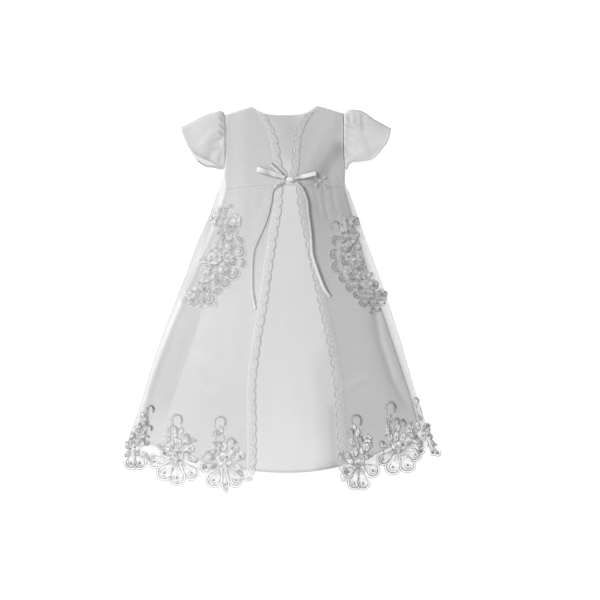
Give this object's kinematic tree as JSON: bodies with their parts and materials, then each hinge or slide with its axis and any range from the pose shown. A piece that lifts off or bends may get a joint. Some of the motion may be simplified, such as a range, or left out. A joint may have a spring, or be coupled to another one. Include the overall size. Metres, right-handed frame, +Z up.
{
  "type": "christening gown",
  "caption": "Baby's christening gown laid flat: a satin A-line dress with cap sleeves under a sheer, open-fronted organza overlay with lace trims, lace motifs and a ribbon bow.",
  "frame": {"origin": "middle of the gown's box, on the surface it lies on", "axes": "+Y from hem to neck as the gown lies front up, +X to the right seen from above, +Z up from the surface"},
  "size_m": [0.5556, 0.6757, 0.0161],
  "materials": {
    "satin": "white satin with a soft sheen",
    "organza": "sheer white organza",
    "lace": "matte corded white lace",
    "ribbon": "glossy white satin ribbon"
  },
  "bodies": {
    "root": {"overlay_back_bodice": "organza", "overlay_back_skirt": "organza", "dress_back_bodice": "satin", "dress_back_skirt": "satin", "dress_front_bodice": "satin", "dress_front_skirt": "satin", "sleeve_left": "satin", "sleeve_right": "satin", "cuff_lace_left": "lace", "overlay_front_bodice_left": "organza", "overlay_front_bodice_right": "organza", "overlay_front_skirt_left": "organza", "overlay_front_skirt_right": "organza", "trim_bodice_left": "lace", "trim_bodice_right": "lace", "trim_skirt_left": "lace", "trim_skirt_right": "lace", "hem_lace_1": "lace", "hem_lace_2": "lace", "hem_lace_3": "lace", "hem_lace_4": "lace", "hem_lace_5": "lace", "hem_lace_6": "lace", "side_lace_left": "lace", "side_lace_right": "lace", "waist_sprig": "lace", "bow_knot": "ribbon", "bow_loop_left": "ribbon", "bow_loop_right": "ribbon", "bow_end_left": "ribbon", "bow_tail_left": "ribbon", "bow_tail_right": "ribbon"}
  },
  "joints": []
}
